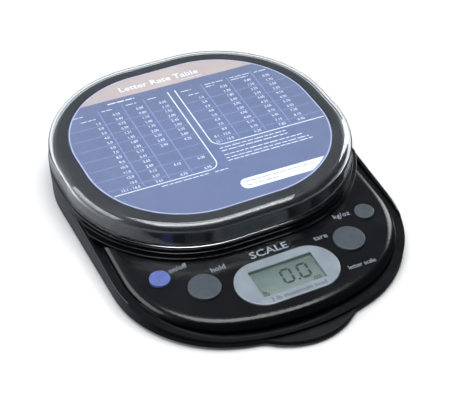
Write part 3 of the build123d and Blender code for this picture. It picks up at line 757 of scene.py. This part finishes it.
def card_small_print():
    """Column headings and notes, too small to read."""
    rng = random.Random(SEED)
    bm = bmesh.new()
    for height, lines in SMALL_PRINT:
        for left, right, y in lines:
            greeked(bm, left, right, y, height, rng)
    print_piece("card_small_print", bm, WHITE_INK)


def card_label():
    """The white label near the front, rounded at its left end and cut by the card's edge."""
    outline = []
    for centre_y, start in ((LABEL_TOP - LABEL_RADIUS, 90), (LABEL_BOTTOM + LABEL_RADIUS, 180)):
        for k in range(LABEL_STEPS + 1):
            angle = math.radians(start + 90 * k / LABEL_STEPS)
            x = LABEL_LEFT + LABEL_RADIUS + LABEL_RADIUS * math.cos(angle)
            outline.append((x, centre_y + LABEL_RADIUS * math.sin(angle)))
    inside = 20.0
    for k in range(LABEL_STEPS + 1):
        y = LABEL_BOTTOM + (LABEL_TOP - LABEL_BOTTOM) * k / LABEL_STEPS
        outline.append((inside + card_reach(inside, y, 1), y))
    bm = bmesh.new()
    prism(bm, outline)
    print_piece("card_label", bm, WHITE_INK)
    rng = random.Random(SEED + 1)
    bm = bmesh.new()
    upper, lower = LABEL_TOP - LABEL_INSET, LABEL_BOTTOM + LABEL_INSET
    for run, y in ((LABEL_TOP_RUN, upper), (LABEL_BOTTOM_RUN, lower)):
        greeked(bm, LABEL_LEFT + LABEL_INDENT, LABEL_LEFT + run, y, LABEL_LETTER, rng)
    bmesh.ops.translate(bm, vec=(0.0, 0.0, PRINT_THICK), verts=bm.verts)
    print_piece("card_label_print", bm, DARK_INK)


# ---------------------------------------------------------------- panel and display


PANEL_INK = ink("panel_ink", linear(136, 146, 158), linear(150, 160, 172))
BEZEL_INK = ink("bezel_ink", linear(62, 72, 86), linear(74, 82, 94))
LCD_INK = ink("lcd_ink", linear(8, 11, 11), linear(14, 17, 16))


def panel_lettering():
    """The plain words by the keys, on the sloping panel, and the line on the bezel."""
    for name, line in PANEL_WORDS.items():
        words_on(name, line, "upper_housing", PANEL_INK)
    words_on("label_capacity", BEZEL_WORDS, "display_bezel", BEZEL_INK)


def segment(start, end):
    """One bar of a seven-segment figure, pointed at both ends."""
    start, end = Vector(start), Vector(end)
    along = (end - start).normalized()
    across = Vector((-along.y, along.x)) * SEGMENT_WIDTH / 2
    gap = along * SEGMENT_GAP * SEGMENT_WIDTH
    start, end = start + gap, end - gap
    shy = along * SEGMENT_WIDTH / 2
    upper = [start, start + shy + across, end - shy + across]
    return upper + [end, end - shy - across, start + shy - across]


def nought(bm, left):
    """The six bars round a seven-segment 0, which leans to the right."""
    right, top, middle = left + NOUGHT_WIDTH, NOUGHT_HEIGHT, NOUGHT_HEIGHT / 2
    bars = (
        ((left, top), (right, top)),
        ((right, top), (right, middle)),
        ((right, middle), (right, 0.0)),
        ((left, 0.0), (right, 0.0)),
        ((left, middle), (left, 0.0)),
        ((left, top), (left, middle)),
    )
    for start, end in bars:
        outline = segment(start, end)
        prism(bm, [(p.x + NOUGHT_SLANT * p.y, p.y + NOUGHT_BASE) for p in outline])


def display_figures():
    """The reading 0.0, with its unit marks, on the liquid crystal."""
    bm = bmesh.new()
    for left in NOUGHTS_LEFT:
        nought(bm, left)
    x = NOUGHTS_LEFT[0] + NOUGHT_WIDTH + POINT_AFTER
    low, high = NOUGHT_BASE - POINT_SIZE / 2, NOUGHT_BASE + POINT_SIZE / 2
    prism(bm, [(x, low), (x + POINT_SIZE, low), (x + POINT_SIZE, high), (x, high)])
    for words, left in UNIT_MARKS:
        add_lettering(bm, words, left, NOUGHT_BASE - UNIT_DROP, UNIT_SIZE, weight=UNIT_WEIGHT)
    drape(bm, surface_of("lcd_glass"))
    to_piece("lcd_figures", bm, LCD_INK, "housing")


# ---------------------------------------------------------------- stage


def floor():
    """A pale paper floor. Reflections leave it out, so that the gloss black stays dark."""
    bm = bmesh.new()
    bmesh.ops.create_grid(bm, x_segments=8, y_segments=8, size=FLOOR_HALF)
    mesh = bpy.data.meshes.new("floor")
    bm.to_mesh(mesh)
    bm.free()
    finish = Finish("floor_paper", 0.9)
    finish.mottle((0.86, 0.86, 0.86, 1.0), (0.88, 0.88, 0.88, 1.0), 0.5)
    mesh.materials.append(finish.material)
    plane = bpy.data.objects.new("floor", mesh)
    bpy.context.scene.collection.objects.link(plane)
    plane.visible_glossy = False


def softbox(name, place, aim, width, depth, radiance):
    """A rectangular soft light at place that faces aim."""
    light = bpy.data.lights.new(name, "AREA")
    light.shape = "RECTANGLE"
    light.size, light.size_y = width, depth
    light.energy = radiance * width * depth * LIGHT_POWER
    holder = bpy.data.objects.new(name, light)
    holder.location = place
    holder.rotation_mode = "QUATERNION"
    holder.rotation_quaternion = (Vector(aim) - Vector(place)).to_track_quat("-Z", "Y")
    bpy.context.scene.collection.objects.link(holder)


def lights():
    """Walls that glow from one side, and the soft lights."""
    world = bpy.data.worlds.new("studio")
    world.use_nodes = True
    tree = world.node_tree
    place = add_node(tree, "ShaderNodeTexCoord").outputs["Generated"]
    sockets = {0: place, 1: WALL_SIDE}
    toward = add_node(tree, "ShaderNodeVectorMath", sockets, operation="DOT_PRODUCT")
    span = zip(("From Min", "From Max", "To Min", "To Max"), WALL_SPAN + WALL_GLOW)
    ramp = add_node(tree, "ShaderNodeMapRange", {"Value": toward.outputs["Value"], **dict(span)})
    sockets = {0: DAYLIGHT, "Scale": ramp.outputs[0]}
    tint = add_node(tree, "ShaderNodeVectorMath", sockets, operation="SCALE")
    tree.links.new(tint.outputs["Vector"], tree.nodes["Background"].inputs["Color"])
    bpy.context.scene.world = world
    for name, facts in SOFTBOXES.items():
        softbox(name, *facts)


def camera():
    azimuth, elevation = math.radians(CAMERA_AZIMUTH), math.radians(CAMERA_ELEVATION)
    roll = math.radians(CAMERA_ROLL)
    back = Vector((
        math.sin(azimuth) * math.cos(elevation),
        -math.cos(azimuth) * math.cos(elevation),
        math.sin(elevation),
    ))
    level = Vector((math.cos(azimuth), math.sin(azimuth), 0.0))
    up = back.cross(level)
    right = math.cos(roll) * level + math.sin(roll) * up
    tall = back.cross(right)
    data = bpy.data.cameras.new("camera")
    data.lens = CAMERA_LENS
    data.sensor_width = CAMERA_SENSOR
    holder = bpy.data.objects.new("camera", data)
    facing = Matrix((right, tall, back)).transposed().to_4x4()
    holder.matrix_world = Matrix.Translation(CAMERA_AIM + back * CAMERA_DISTANCE) @ facing
    bpy.context.scene.collection.objects.link(holder)
    bpy.context.scene.camera = holder


# ---------------------------------------------------------------- the scene


def dress_cad_nodes():
    """Every CAD node gets the finish of its slot in the record."""
    for part in frame["record"]["subparts"]:
        node = frame["nodes"][part["node"]]
        for holder in node.material_slots:
            holder.link = "OBJECT"
            holder.material = SLOT_FINISHES[part["material_slot"]].material


camera()
lights()
floor()
dress_cad_nodes()
clear_tray()
rate_card()
card_rim()
card_borders()
card_rules()
card_figures()
card_title()
card_small_print()
card_label()
panel_lettering()
display_figures()
bpy.context.scene.view_settings.view_transform = "Standard"
